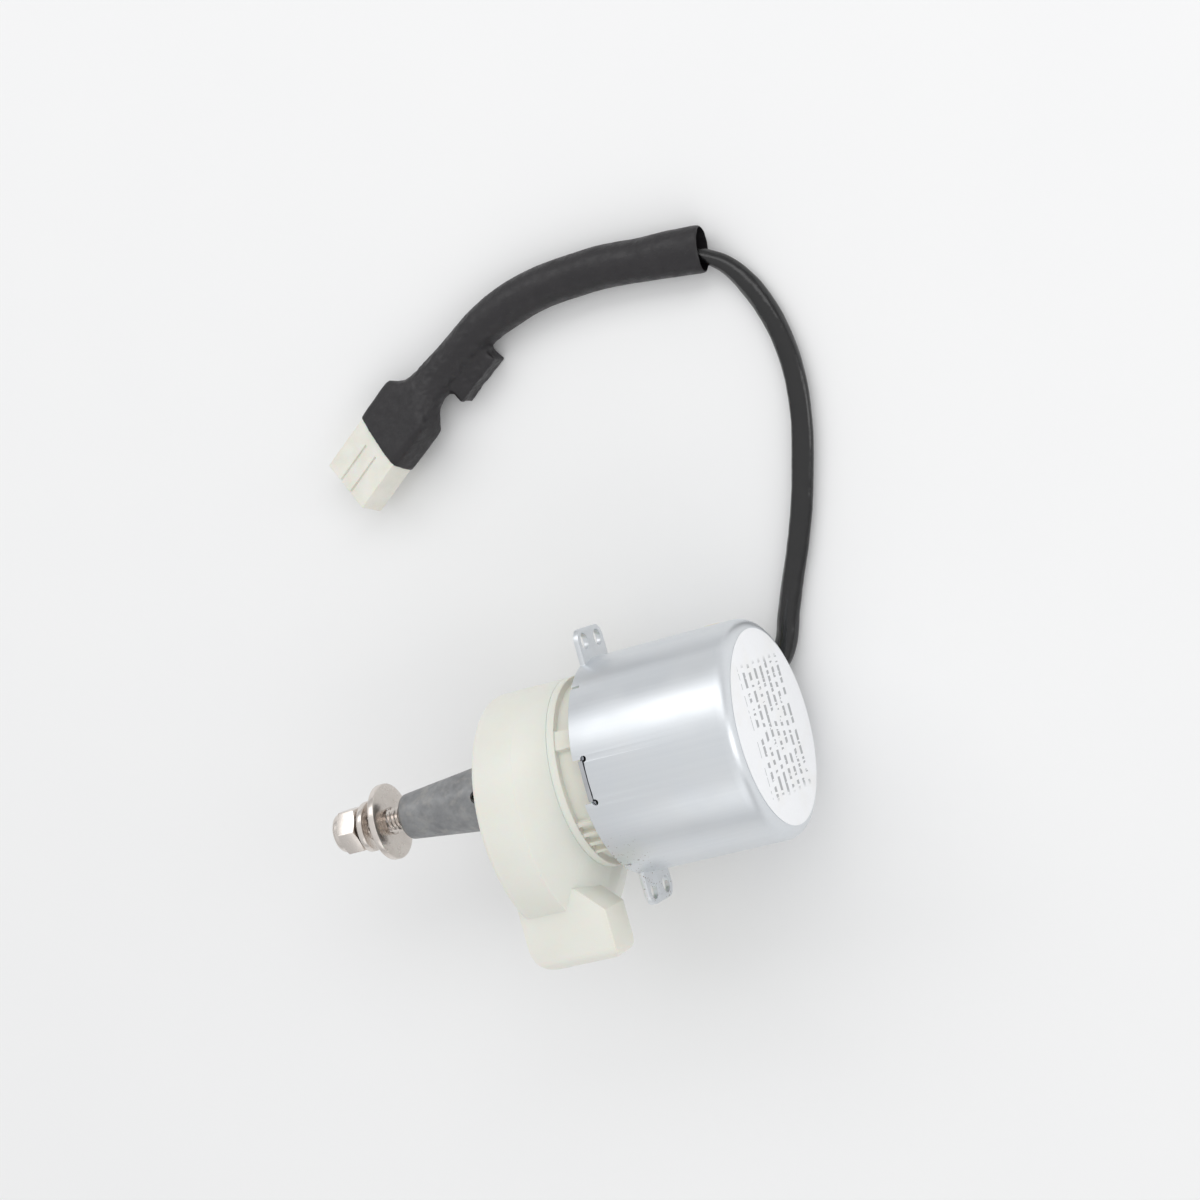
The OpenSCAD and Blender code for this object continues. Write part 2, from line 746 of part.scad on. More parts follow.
module lock_nut() {
    corner_r = nut_flats / sqrt(3);
    chamfer = 0.8;
    collar_round = 1.1;
    bevelled = [
        [0, nut_x[0]], [corner_r - chamfer, nut_x[0]], [corner_r + eps, nut_x[0] + chamfer / 2],
        [corner_r + eps, nut_x[1] - chamfer / 2], [corner_r - chamfer, nut_x[1]], [0, nut_x[1]]
    ];
    collar = concat(
        [[0, nut_x[1] - 1], [nut_collar_r, nut_x[1] - 1]],
        arc([nut_collar_r - collar_round, nut_x[2] - collar_round], collar_round, 0, 90, 5),
        [[0, nut_x[2]]]);
    color("silver") difference() {
        union() {
            intersection() {
                along_x() translate([0, 0, nut_x[0]])
                    cylinder(r = corner_r, h = nut_x[1] - nut_x[0], $fn = 6);
                along_x() rotate_extrude() polygon(bevelled);
            }
            along_x() rotate_extrude() polygon(collar);
        }
        ring(stud_r + 0.05, 0, nut_x[0] - 1, nut_x[2] - nut_x[0] + 2);
        ring(nut_ring_r, 0, nut_x[1] + 0.2, 1.4);
    }
}

nut_ring_r = 4;

module nut_ring() {
    color("white") ring(nut_ring_r, stud_r, nut_x[1] + 0.25, 1.3);
}

// ---- lead ----

module lead_cap() {
    steps = 6;
    edge = 1.2;
    function cap_at(radius, turn) = radius * [-sin(turn), -cos(turn)];
    first = cap_angle - cap_half_angle;
    last = cap_angle + cap_half_angle;
    outer = [for (i = [0:steps]) cap_at(cap_r, first + edge + (last - first - 2 * edge) * i / steps)];
    chord = cos((last - first) / steps / 2);
    inner = [for (i = [steps:-1:0]) cap_at((can_r + 0.02) / chord, first + (last - first) * i / steps)];
    color("ivory") translate([cap_x[0], 0, 0]) rotate([90, 0, 90])
        linear_extrude(height = cap_x[1] - cap_x[0]) polygon(concat(outer, inner));
}

module lead_sleeve() {
    color("black") swept_tube([for (i = [0:len(lead_route) - 1])
        section_ring(lead_route, i, sleeve_half_w, sleeve_half_h, 1, 0)]);
}

module heat_shrink() {
    color("black") swept_tube([for (i = [0:len(shrink_stations) - 1])
        let (s = shrink_stations[i])
        section_ring(shrink_stations, i, s[3], s[4], s[5], s[6])]);
}

module capacitor() {
    color("dimgray") translate(capacitor_at) rotate([0, 0, capacitor_heading])
        cube(capacitor_size, center = true);
}

// Places its children in the connector's own frame: X along it, Y across the poles
module at_connector() {
    translate(connector_at) rotate([0, 0, connector_heading]) rotate([connector_roll, 0, 0]) children();
}

module pole_row() {
    for (i = [0:pole_count - 1]) translate([0, (i - (pole_count - 1) / 2) * pole_pitch, 0]) children();
}

module connector_body() {
    groove = 0.6;
    color("white") at_connector() difference() {
        translate([0, -connector_w / 2, -connector_t / 2])
            cube([connector_len, connector_w, connector_t]);
        pole_row() translate([connector_len - pole_depth, -pole_half, -pole_half])
            cube([pole_depth + 1, 2 * pole_half, 2 * pole_half]);
        for (side = [-1, 1], gap = [-0.5, 0.5])
            translate([connector_len - 11, gap * pole_pitch - groove / 2, side * connector_t / 2 - groove])
                cube([12, groove, 2 * groove]);
    }
}

module connector_terminals() {
    color("gold") at_connector() pole_row() translate([connector_len - pole_depth, 0, 0]) along_x()
        difference() {
            cylinder(r = 1.2, h = pole_depth - 1);
            translate([0, 0, 1]) cylinder(r = 0.9, h = pole_depth);
        }
}

motor_can();
label_disc();
front_plate();
gear_plate();
plate_posts();
gear_pins();
output_bush();
stator_claw_rear();
stator_claw_middle_rear();
stator_claw_middle_front();
stator_claw_front();
bobbin_rear();
bobbin_front();
winding_rear();
winding_front();
rotor_bush_rear();
rotor_bush_front();
rotor_magnet();
rotor_hub();
rotor_shaft();
rotor_pinion();
gear_first();
gear_second();
gear_third();
output_gear();
output_shaft();
housing_back();
housing_front();
housing_screws();
spindle_bush();
spindle();
roll_pin();
stud();
flat_washer();
spring_washer();
lock_nut();
nut_ring();
lead_cap();
lead_sleeve();
heat_shrink();
capacitor();
connector_body();
connector_terminals();
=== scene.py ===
import json
import math

import bmesh
import bpy
from mathutils import Matrix, Vector, noise


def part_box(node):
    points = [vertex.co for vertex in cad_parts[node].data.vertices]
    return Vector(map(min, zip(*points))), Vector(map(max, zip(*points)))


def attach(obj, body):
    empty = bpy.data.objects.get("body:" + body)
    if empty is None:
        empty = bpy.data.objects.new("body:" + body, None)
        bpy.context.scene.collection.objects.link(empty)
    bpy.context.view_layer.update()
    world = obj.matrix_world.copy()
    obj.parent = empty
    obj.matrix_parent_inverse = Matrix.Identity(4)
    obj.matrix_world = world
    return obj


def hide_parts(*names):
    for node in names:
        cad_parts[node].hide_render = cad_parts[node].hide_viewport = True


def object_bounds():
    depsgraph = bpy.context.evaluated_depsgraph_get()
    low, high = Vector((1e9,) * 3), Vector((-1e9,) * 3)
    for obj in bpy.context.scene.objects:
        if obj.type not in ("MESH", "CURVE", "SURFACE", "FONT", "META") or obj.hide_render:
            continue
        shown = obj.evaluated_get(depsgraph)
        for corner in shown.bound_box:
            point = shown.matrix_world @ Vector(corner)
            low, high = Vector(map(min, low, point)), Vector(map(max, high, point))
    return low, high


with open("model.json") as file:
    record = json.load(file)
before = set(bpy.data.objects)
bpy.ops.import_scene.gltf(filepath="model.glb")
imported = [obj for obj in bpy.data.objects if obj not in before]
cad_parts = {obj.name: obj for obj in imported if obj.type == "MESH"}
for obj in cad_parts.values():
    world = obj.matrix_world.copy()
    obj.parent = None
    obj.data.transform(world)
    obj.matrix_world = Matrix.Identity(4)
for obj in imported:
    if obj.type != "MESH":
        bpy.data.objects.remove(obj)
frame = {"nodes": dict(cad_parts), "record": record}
cad_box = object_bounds()
nodes = frame["nodes"]
scene = bpy.context.scene
MM = 0.001
SMOOTH_UNDER = math.radians(32)
floor_z = cad_box[0][2]
on_floor = floor_z + 0.02 * MM


# ---- camera ----

def make_camera():
    right = Vector((-0.88326, 0.26942, -0.38375)).normalized()
    up = Vector((-0.24376, -0.96299, -0.11504))
    back = right.cross(up).normalized()
    up = back.cross(right)
    turn = Matrix((right, up, back)).transposed().to_4x4()
    camera = bpy.data.objects.new("camera", bpy.data.cameras.new("camera"))
    camera.data.lens = 82.77
    camera.data.sensor_width = 36
    camera.data.clip_start = 0.01
    camera.data.clip_end = 20
    camera.matrix_world = Matrix.Translation((-0.25382, -0.04192, 0.56712)) @ turn
    scene.collection.objects.link(camera)
    scene.camera = camera


make_camera()


# ---- mesh helpers ----

def new_object(name, mesh):
    piece = bpy.data.objects.new(name, mesh)
    scene.collection.objects.link(piece)
    return piece


def mesh_from_rings(name, rings):
    """A tube through rings of points, with both ends closed."""
    sides = len(rings[0])
    points = [p for ring in rings for p in ring]
    faces = []
    for i in range(len(rings) - 1):
        for k in range(sides):
            a, b = i * sides + k, i * sides + (k + 1) % sides
            faces.append((a, b, b + sides, a + sides))
    last = (len(rings) - 1) * sides
    faces.append(tuple(range(sides - 1, -1, -1)))
    faces.append(tuple(last + k for k in range(sides)))
    mesh = bpy.data.meshes.new(name)
    mesh.from_pydata(points, [], faces)
    bm = bmesh.new()
    bm.from_mesh(mesh)
    bmesh.ops.recalc_face_normals(bm, faces=bm.faces)
    bm.to_mesh(mesh)
    bm.free()
    mesh.shade_smooth()
    return mesh


def catmull(rows, per_span):
    """A smooth line through rows of numbers, which may hold more than x, y and z."""
    out = []
    for i in range(len(rows) - 1):
        a, b, c, d = (rows[max(i - 1, 0)], rows[i], rows[i + 1], rows[min(i + 2, len(rows) - 1)])
        for s in range(per_span):
            t = s / per_span
            out.append([
                0.5 * (2 * q + (r - p) * t + (2 * p - 5 * q + 4 * r - w) * t * t
                       + (3 * q - p - 3 * r + w) * t ** 3)
                for p, q, r, w in zip(a, b, c, d)])
    return out + [list(rows[-1])]


def frames_along(rows):
    """(place, side, up) at each row of a route that lies near the floor."""
    places = [Vector(row[:3]) for row in rows]
    out = []
    for i, place in enumerate(places):
        forward = (places[min(i + 1, len(places) - 1)] - places[max(i - 1, 0)]).normalized()
        side = Vector((0, 0, 1)).cross(forward).normalized()
        out.append((place, side, forward.cross(side)))
    return out


def smooth_by_angle():
    """A modifier tree that shades smooth, except across edges sharper than SMOOTH_UNDER."""
    tree = bpy.data.node_groups.new("smooth_by_angle", "GeometryNodeTree")
    tree.interface.new_socket("Geometry", in_out="INPUT", socket_type="NodeSocketGeometry")
    tree.interface.new_socket("Geometry", in_out="OUTPUT", socket_type="NodeSocketGeometry")
    start = tree.nodes.new("NodeGroupInput")
    end = tree.nodes.new("NodeGroupOutput")
    angle = tree.nodes.new("GeometryNodeInputMeshEdgeAngle")
    over = tree.nodes.new("FunctionNodeCompare")
    over.operation = "GREATER_THAN"
    over.inputs[1].default_value = SMOOTH_UNDER
    faces = tree.nodes.new("GeometryNodeSetShadeSmooth")
    edges = tree.nodes.new("GeometryNodeSetShadeSmooth")
    edges.domain = "EDGE"
    edges.inputs["Shade Smooth"].default_value = False
    tree.links.new(start.outputs[0], faces.inputs[0])
    tree.links.new(faces.outputs[0], edges.inputs[0])
    tree.links.new(angle.outputs[0], over.inputs[0])
    tree.links.new(over.outputs[0], edges.inputs["Selection"])
    tree.links.new(edges.outputs[0], end.inputs[0])
    return tree


angle_tree = smooth_by_angle()


def shade(piece):
    modifier = piece.modifiers.new("smooth_by_angle", "NODES")
    modifier.node_group = angle_tree


def soften(piece, width):
    """Rounds the sharp edges of a CAD node by a width in mm, and leaves its own mesh as it is."""
    weld = piece.modifiers.new("weld", "WELD")
    weld.merge_threshold = 0.002 * MM
    if width:
        bevel = piece.modifiers.new("bevel", "BEVEL")
        bevel.width = width * MM
        bevel.segments = 3
        bevel.limit_method = "ANGLE"
        bevel.angle_limit = SMOOTH_UNDER
        bevel.use_clamp_overlap = True
    shade(piece)


# ---- materials ----

def srgb(red, green, blue):
    """A colour given from 0 to 255, as linear light."""
    def linear(value):
        value /= 255
        return value / 12.92 if value < 0.04045 else ((value + 0.055) / 1.055) ** 2.4
    return (linear(red), linear(green), linear(blue), 1)


class Material:
    """A Principled material with procedural layers on its colour, roughness and bump."""

    def __init__(self, name, colour, roughness, metallic=0.0, **shader):
        self.made = bpy.data.materials.new(name)
        self.made.use_nodes = True
        self.tree = self.made.node_tree
        self.shader = self.tree.nodes["Principled BSDF"]
        self.shader.inputs["Metallic"].default_value = metallic
        for socket, value in shader.items():
            self.shader.inputs[socket.replace("_", " ")].default_value = value
        self.place = self.node("ShaderNodeTexCoord").outputs["Object"]
        self.colour = None
        self.base = colour
        self.rough = roughness
        self.height = None

    def node(self, kind, **settings):
        node = self.tree.nodes.new(kind)
        for name, value in settings.items():
            setattr(node, name, value)
        return node

    def link(self, a, b):
        self.tree.links.new(a, b)

    def noise(self, per_mm, detail=4, stretch=(1, 1, 1), low=0.35, high=0.65, roughness=0.55):
        """Noise of about that many features per millimetre, from 0 to 1."""
        mapping = self.node("ShaderNodeMapping")
        mapping.inputs["Scale"].default_value = [s * per_mm / MM for s in stretch]
        self.link(self.place, mapping.inputs["Vector"])
        texture = self.node("ShaderNodeTexNoise")
        texture.inputs["Scale"].default_value = 1
        texture.inputs["Detail"].default_value = detail
        texture.inputs["Roughness"].default_value = roughness
        self.link(mapping.outputs[0], texture.inputs["Vector"])
        return self.ramp(texture.outputs[0], low, high)

    def ramp(self, value, low, high, to_low=0.0, to_high=1.0):
        node = self.node("ShaderNodeMapRange")
        node.inputs["From Min"].default_value = low
        node.inputs["From Max"].default_value = high
        node.inputs["To Min"].default_value = to_low
        node.inputs["To Max"].default_value = to_high
        self.link(value, node.inputs["Value"])
        return node.outputs[0]

    def times(self, a, b):
        node = self.node("ShaderNodeMath", operation="MULTIPLY")
        for value, socket in ((a, node.inputs[0]), (b, node.inputs[1])):
            if isinstance(value, (int, float)):
                socket.default_value = value
            else:
                self.link(value, socket)
        return node.outputs[0]

    def axis(self, name):
        split = self.node("ShaderNodeSeparateXYZ")
        self.link(self.place, split.inputs[0])
        return split.outputs[name]

    def layer(self, factor, colour):
        """Mixes a colour over what is there, by a factor from 0 to 1."""
        mix = self.node("ShaderNodeMix", data_type="RGBA")
        if self.colour is None:
            mix.inputs["A"].default_value = self.base
        else:
            self.link(self.colour, mix.inputs["A"])
        mix.inputs["B"].default_value = colour
        self.link(factor, mix.inputs["Factor"])
        self.colour = mix.outputs["Result"]

    def vary_roughness(self, factor, spread):
        varied = self.ramp(factor, 0, 1, self.rough - spread, self.rough + spread)
        self.link(varied, self.shader.inputs["Roughness"])

    def bump(self, factor, depth_mm):
        node = self.node("ShaderNodeBump")
        node.inputs["Strength"].default_value = 1
        node.inputs["Distance"].default_value = depth_mm * MM
        self.link(factor, node.inputs["Height"])
        if self.height is not None:
            self.link(self.height, node.inputs["Normal"])
        self.height = node.outputs[0]

    def done(self):
        if self.colour is None:
            self.shader.inputs["Base Color"].default_value = self.base
        else:
            self.link(self.colour, self.shader.inputs["Base Color"])
        if not self.shader.inputs["Roughness"].is_linked:
            self.shader.inputs["Roughness"].default_value = self.rough
        if self.height is not None:
            self.link(self.height, self.shader.inputs["Normal"])
        return self.made


def zinc_can():
    m = Material("zinc_can", srgb(222, 225, 228), 0.38, 1.0)
    streaks = m.noise(1.2, 1, (0.01, 1, 1), 0.2, 0.8)
    clouds = m.noise(0.09, 3)
    m.layer(m.times(clouds, 0.3), srgb(216, 222, 229))
    m.layer(m.times(streaks, 0.2), srgb(236, 239, 241))
    near_rim = m.ramp(m.axis("X"), -11 * MM, -1 * MM)
    low_side = m.ramp(m.axis("Y"), 12 * MM, 19 * MM)
    specks = m.noise(1.6, 2, low=0.66, high=0.7)
    m.layer(m.times(m.times(near_rim, low_side), specks), srgb(120, 96, 70))
    m.vary_roughness(m.noise(0.12, 3), 0.03)
    m.bump(m.noise(0.05, 1, low=0.1, high=0.9), 0.03)
    return m.done()


def within(m, axis, end, fade):
    """1 between -end and end on an axis, fading to 0 over the last of it."""
    low = m.ramp(m.axis(axis), -end, fade * -end)
    return m.times(low, m.ramp(m.axis(axis), end, fade * end))


def label_paper():
    """White paper with rows of plain grey dashes where a label has its print."""
    m = Material("label_paper", srgb(248, 249, 251), 0.55)
    m.layer(m.times(m.noise(2.5, 3), 0.3), srgb(238, 239, 242))
    m.layer(m.times(m.noise(0.12, 3, low=0.5, high=0.75), 0.3), srgb(236, 233, 226))
    row_pitch = 3.6 * MM
    rows = m.node("ShaderNodeMath", operation="FRACT")
    m.link(m.times(m.axis("Z"), 1 / row_pitch), rows.inputs[0])
    in_row = m.times(m.ramp(rows.outputs[0], 0.5, 0.54), m.ramp(rows.outputs[0], 0.92, 0.88))
    dashes = m.noise(0.9, 1, (0, 1, 0.14), 0.47, 0.5)
    printed = m.times(within(m, "Y", 15.5 * MM, 0.9), m.times(within(m, "Z", 13 * MM, 0.99), 0.6))
    m.layer(m.times(m.times(in_row, dashes), printed), srgb(96, 98, 104))
    m.bump(m.noise(4, 4), 0.01)
    return m.done()


def plain_metal(name, colour, other, roughness, grain=(1, 1, 1), bump=0.006, metallic=1.0):
    m = Material(name, colour, roughness, metallic)
    m.layer(m.times(m.noise(0.5, 4), 0.6), other)
    m.vary_roughness(m.noise(1.5, 4), 0.07)
    m.bump(m.noise(4, 3, grain), bump)
    return m.done()


def plastic(name, colour, other, roughness, subsurface=0.15, bump=0.01):
    m = Material(name, colour, roughness, Subsurface_Weight=subsurface, Subsurface_Scale=1.5 * MM)
    m.layer(m.times(m.noise(0.15, 3), 0.5), other)
    m.vary_roughness(m.noise(1.2, 4), 0.06)
    m.bump(m.noise(1.5, 4), bump)
    return m.done()


def ivory_nylon():
    m = Material(
        "ivory_nylon", srgb(231, 231, 223), 0.42, Subsurface_Weight=0.25, Subsurface_Scale=2.5 * MM)
    # Painted shade: from 7 mm down to 4.5 mm in x, next to the can, the neck is mixed to a darker
    # yellowish colour for the shade the can throws into the recess.
    neck_painted_shade = m.ramp(m.axis("X"), 7 * MM, 4.5 * MM)
    m.layer(m.times(m.noise(0.1, 3), 0.4), srgb(229, 228, 217))
    m.layer(m.times(neck_painted_shade, 0.4), srgb(228, 225, 208))
    m.vary_roughness(m.noise(0.8, 4), 0.06)
    m.bump(m.noise(1.2, 4), 0.01)
    m.bump(m.noise(0.12, 2), 0.05)
    return m.done()


def die_cast():
    m = Material("die_cast", srgb(156, 157, 158), 0.5, 0.75)
    m.layer(m.times(m.noise(0.25, 4), 0.7), srgb(128, 129, 131))
    m.layer(m.times(m.noise(0.4, 4, low=0.5, high=0.75), 0.5), srgb(180, 176, 170))
    m.vary_roughness(m.noise(0.7, 5), 0.12)
    m.bump(m.noise(0.4, 3), 0.04)
    m.bump(m.noise(2, 3), 0.006)
    return m.done()


def copper_wire():
    m = Material("copper_wire", srgb(190, 104, 58), 0.3, 1.0)
    wave = m.node("ShaderNodeTexWave", wave_type="BANDS", bands_direction="X")
    wave.inputs["Scale"].default_value = 1.6 / MM
    wave.inputs["Distortion"].default_value = 1.5
    m.link(m.place, wave.inputs["Vector"])
    m.layer(m.times(wave.outputs[1], 0.6), srgb(140, 66, 34))
    m.bump(wave.outputs[1], 0.08)
    return m.done()


def black_pvc():
    m = Material("black_pvc", srgb(8, 8, 9), 0.2, Coat_Weight=0.3, Coat_Roughness=0.08)
    m.layer(m.times(m.noise(0.25, 4), 0.5), srgb(19, 18, 19))
    m.vary_roughness(m.noise(0.4, 4), 0.07)
    m.bump(m.noise(0.5, 3), 0.04)
    m.bump(m.noise(5, 3), 0.006)
    return m.done()


def black_shrink():
    m = Material("black_shrink", srgb(27, 25, 28), 0.46)
    m.layer(m.times(m.noise(0.2, 5), 0.6), srgb(36, 33, 36))
    m.layer(m.times(m.noise(2.5, 5, low=0.62, high=0.8), 0.5), srgb(70, 68, 70))
    m.vary_roughness(m.noise(0.5, 4), 0.1)
    m.bump(m.noise(0.4, 5), 0.07)
    m.bump(m.noise(4, 3), 0.01)
    return m.done()


def stainless():
    m = Material("stainless", srgb(224, 217, 211), 0.24, 1.0)
    m.layer(m.times(m.noise(0.3, 3), 0.5), srgb(212, 204, 197))
    m.vary_roughness(m.noise(0.6, 3), 0.04)
    m.bump(m.noise(1.5, 3), 0.0015)
    return m.done()


def nut_nylon():
    return plastic("nut_nylon", srgb(225, 226, 222), srgb(205, 206, 200), 0.4)


materials = {
    "zinc_can": zinc_can(),
    "label_paper": label_paper(),
    "plate_steel": plain_metal("plate_steel", srgb(190, 192, 195), srgb(168, 170, 174), 0.36),
    "pin_steel": plain_metal("pin_steel", srgb(205, 206, 208), srgb(182, 184, 188), 0.22, (0.05, 1, 1)),
    "bronze": plain_metal("bronze", srgb(176, 128, 72), srgb(142, 98, 52), 0.45, bump=0.02),
    "claw_iron": plain_metal("claw_iron", srgb(132, 134, 138), srgb(104, 106, 110), 0.42),
    "bobbin_nylon": plastic("bobbin_nylon", srgb(226, 224, 214), srgb(206, 203, 190), 0.42),
    "copper_wire": copper_wire(),
    "ferrite": plain_metal("ferrite", srgb(62, 60, 60), srgb(46, 45, 46), 0.6, bump=0.02, metallic=0.3),
    "gear_plastic": plastic("gear_plastic", srgb(228, 222, 202), srgb(208, 200, 176), 0.4),
    "gear_steel": plain_metal("gear_steel", srgb(168, 168, 170), srgb(140, 140, 142), 0.38),
    "brass": plain_metal("brass", srgb(212, 178, 98), srgb(184, 146, 70), 0.3),
    "ivory_nylon": ivory_nylon(),
    "die_cast": die_cast(),
    "dark_steel": plain_metal("dark_steel", srgb(84, 82, 82), srgb(58, 56, 56), 0.42, bump=0.015),
    "stainless": stainless(),
    "nut_nylon": nut_nylon(),
    "black_pvc": black_pvc(),
    "black_shrink": black_shrink(),
    "capacitor_case": plastic("capacitor_case", srgb(66, 64, 64), srgb(48, 47, 47), 0.45, 0),
    "white_nylon": plastic("white_nylon", srgb(234, 233, 224), srgb(218, 217, 204), 0.42, 0.25),
    "terminal_metal": plain_metal("terminal_metal", srgb(214, 190, 128), srgb(186, 160, 98), 0.3),
}


def dress(piece, slot):
    piece.data.materials.clear()
    piece.data.materials.append(materials[slot])


# ---- cord: the sleeve with the wires, and the heat-shrink tube on it ----

lead_z = floor_z + 2.05 * MM
shrink_z = floor_z + 4.55 * MM
LEAD_ROUTE = [
    (-0.027, -0.012, -0.0244), (-0.031, -0.012, -0.0246), (-0.0345, -0.013, -0.0251),
    (-0.037, -0.017, -0.0256), (-0.039, -0.0225, lead_z), (-0.042, -0.0295, lead_z),
    (-0.0455, -0.037, lead_z), (-0.049, -0.0455, lead_z), (-0.052, -0.0545, lead_z),
    (-0.0545, -0.0635, lead_z), (-0.0558, -0.0725, lead_z), (-0.0556, -0.081, lead_z),
    (-0.054, -0.089, lead_z), (-0.051, -0.0965, lead_z), (-0.047, -0.1025, -0.0252),
    (-0.042, -0.106, -0.0242), (-0.036, -0.108, shrink_z), (-0.028, -0.1098, shrink_z),
    (-0.019, -0.111, shrink_z), (-0.01, -0.1112, shrink_z), (-0.001, -0.1108, shrink_z),
    (0.007, -0.1092, shrink_z), (0.015, -0.1064, shrink_z), (0.023, -0.102, shrink_z),
    (0.030, -0.0975, shrink_z), (0.037, -0.093, shrink_z),
]
SLEEVE_HALF_W = 2.7 * MM
SLEEVE_HALF_H = 2.0 * MM
RINGS_PER_SPAN = 12
NARROW_FROM = 13
WIRES = 3


def lead_sleeve():
    """A flattened sleeve whose three wires show as lobes that turn along it."""
    line = catmull(LEAD_ROUTE, RINGS_PER_SPAN)
    steps = frames_along(line)
    rings = []
    walked = 0.0
    for i, (place, side, up) in enumerate(steps):
        walked += (place - steps[i - 1][0]).length if i else 0
        # it narrows over one and a half spans before it enters the heat-shrink
        narrow = min(max((i / RINGS_PER_SPAN - NARROW_FROM) / 1.5, 0), 1)
        across = side * SLEEVE_HALF_W * (1 - 0.28 * narrow)
        above = up * SLEEVE_HALF_H * (1 - 0.08 * narrow)
        rings.append(sleeve_ring(place, across, above, walked))
    piece = new_object("sleeve", mesh_from_rings("sleeve", rings))
    dress(piece, "black_pvc")
    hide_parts("lead_sleeve")
    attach(piece, "motor_frame")
    return piece, line


def sleeve_ring(place, across, above, walked):
    """One ring of the sleeve, at a length walked along it from its start."""
    sides = 40
    lobe_turn = walked / (26 * MM) * math.tau / WIRES
    ripple = 0.03 * noise.noise(Vector((walked / (7 * MM), 3.1, 0.4)))
    ring = []
    for k in range(sides):
        angle = math.tau * k / sides
        c, s = math.cos(angle), math.sin(angle)
        fine = 0.02 * noise.noise(Vector((walked / (2.2 * MM), c * 2, s * 2)))
        reach = 0.94 + 0.055 * math.cos(WIRES * angle + lobe_turn) + ripple + fine
        point = place + across * reach * c + above * reach * s
        point.z = max(point.z, on_floor)
        ring.append(point)
    return ring


sleeve, sleeve_line = lead_sleeve()

CONNECTOR_ROLL = 20
CONNECTOR_HEADING = 34.5
BLOCK_MIDDLE = Vector((0.0422, -0.0891, -0.0219))
CUT_EDGE = Vector((0.0465, -0.0861, -0.0219))
WAIST = Vector((0.0325, -0.0955, -0.0219))
# Stations of the tube: x, y, z, half width, half thickness, squareness (1 is round), roll in degrees
SHRINK_STATIONS = [
    (-0.0437, -0.1072, shrink_z, 0.0056, 0.0041, 0.95, 0),
    (-0.036, -0.1083, shrink_z, 0.0054, 0.0044, 0.95, 0),
    (-0.028, -0.1092, shrink_z, 0.0051, 0.0045, 1, 0),
    (-0.019, -0.1104, shrink_z, 0.0051, 0.0045, 1, 0),
    (-0.010, -0.1106, shrink_z, 0.0051, 0.0045, 1, 0),
    (-0.001, -0.1102, shrink_z, 0.0051, 0.0045, 1, 0),
    (0.007, -0.1085, shrink_z, 0.0051, 0.0045, 1, 0),
    (0.015, -0.1057, shrink_z, 0.0049, 0.0043, 1, 0),
    (0.023, -0.1011, shrink_z, 0.0048, 0.0041, 1, 0),
    (0.0290, -0.0979, -0.0229, 0.0048, 0.0040, 0.9, 8),
    (0.0325, -0.0957, -0.0223, 0.0051, 0.0039, 0.8, 14),
    (0.0344, -0.0944, -0.0219, 0.0062, 0.0039, 0.55, CONNECTOR_ROLL),
    (0.0357, -0.0935, -0.0219, 0.0079, 0.0040, 0.35, CONNECTOR_ROLL),
    (0.0369, -0.0927, -0.0219, 0.0087, 0.0040, 0.16, CONNECTOR_ROLL),
    (0.0420, -0.0892, -0.0219, 0.0087, 0.0040, 0.16, CONNECTOR_ROLL),
    (0.0465, -0.0861, -0.0219, 0.0086, 0.0040, 0.16, CONNECTOR_ROLL),
]


def shrink_rings(stations, sides, inset=0.0):
    """Rings of a tube whose section goes from round to square along it."""
    rings = []
    for row, (place, side, up) in zip(stations, frames_along(stations)):
        half_w, half_h, power, roll = row[3] - inset, row[4] - inset, row[5], math.radians(row[6])
        across = side * math.cos(roll) + up * math.sin(roll)
        above = up * math.cos(roll) - side * math.sin(roll)
        ring = []
        for k in range(sides):
            angle = math.tau * (k + 0.5) / sides
            c, s = math.cos(angle), math.sin(angle)
            ring.append(place + across * half_w * math.copysign(abs(c) ** power, c)
                        + above * half_h * math.copysign(abs(s) ** power, s))
        rings.append(ring)
    return rings


def box_mesh(size, place, heading):
    bm = bmesh.new()
    bmesh.ops.create_cube(bm, size=1)
    turn = Matrix.Translation(place) @ Matrix.Rotation(math.radians(heading), 4, "Z")
    bmesh.ops.transform(bm, matrix=turn @ Matrix.Diagonal((*size, 1)), verts=bm.verts)
    mesh = bpy.data.meshes.new("box")
    bm.to_mesh(mesh)
    bm.free()
    return mesh


def evaluated(piece):
    """The piece's mesh with its modifiers applied."""
    graph = bpy.context.evaluated_depsgraph_get()
    mesh = bpy.data.meshes.new_from_object(piece.evaluated_get(graph))
    piece.modifiers.clear()
    return mesh


CAPACITOR_AT = Vector((0.0217, -0.0988, -0.0246))
CAPACITOR_HEADING = 33
CAPACITOR_SIZE = (13, 11, 5.6)
FILM = 0.5


def web_mesh():
    """A flat wedge from the wires, where it is wide, to the capacitor's outer side."""
    outline = [(-12, -4), (12, -4), (9.2, -1.2), (7.2, 2.6), (-7.2, 2.6), (-9.6, -1.2)]
    low, high = -1.9, 2.3
    turn = Matrix.Rotation(math.radians(CAPACITOR_HEADING), 3, "Z")
    rings = [[CAPACITOR_AT + turn @ (Vector((x, y, z)) * MM) for x, y in outline] for z in (low, high)]
    return mesh_from_rings("web", rings)


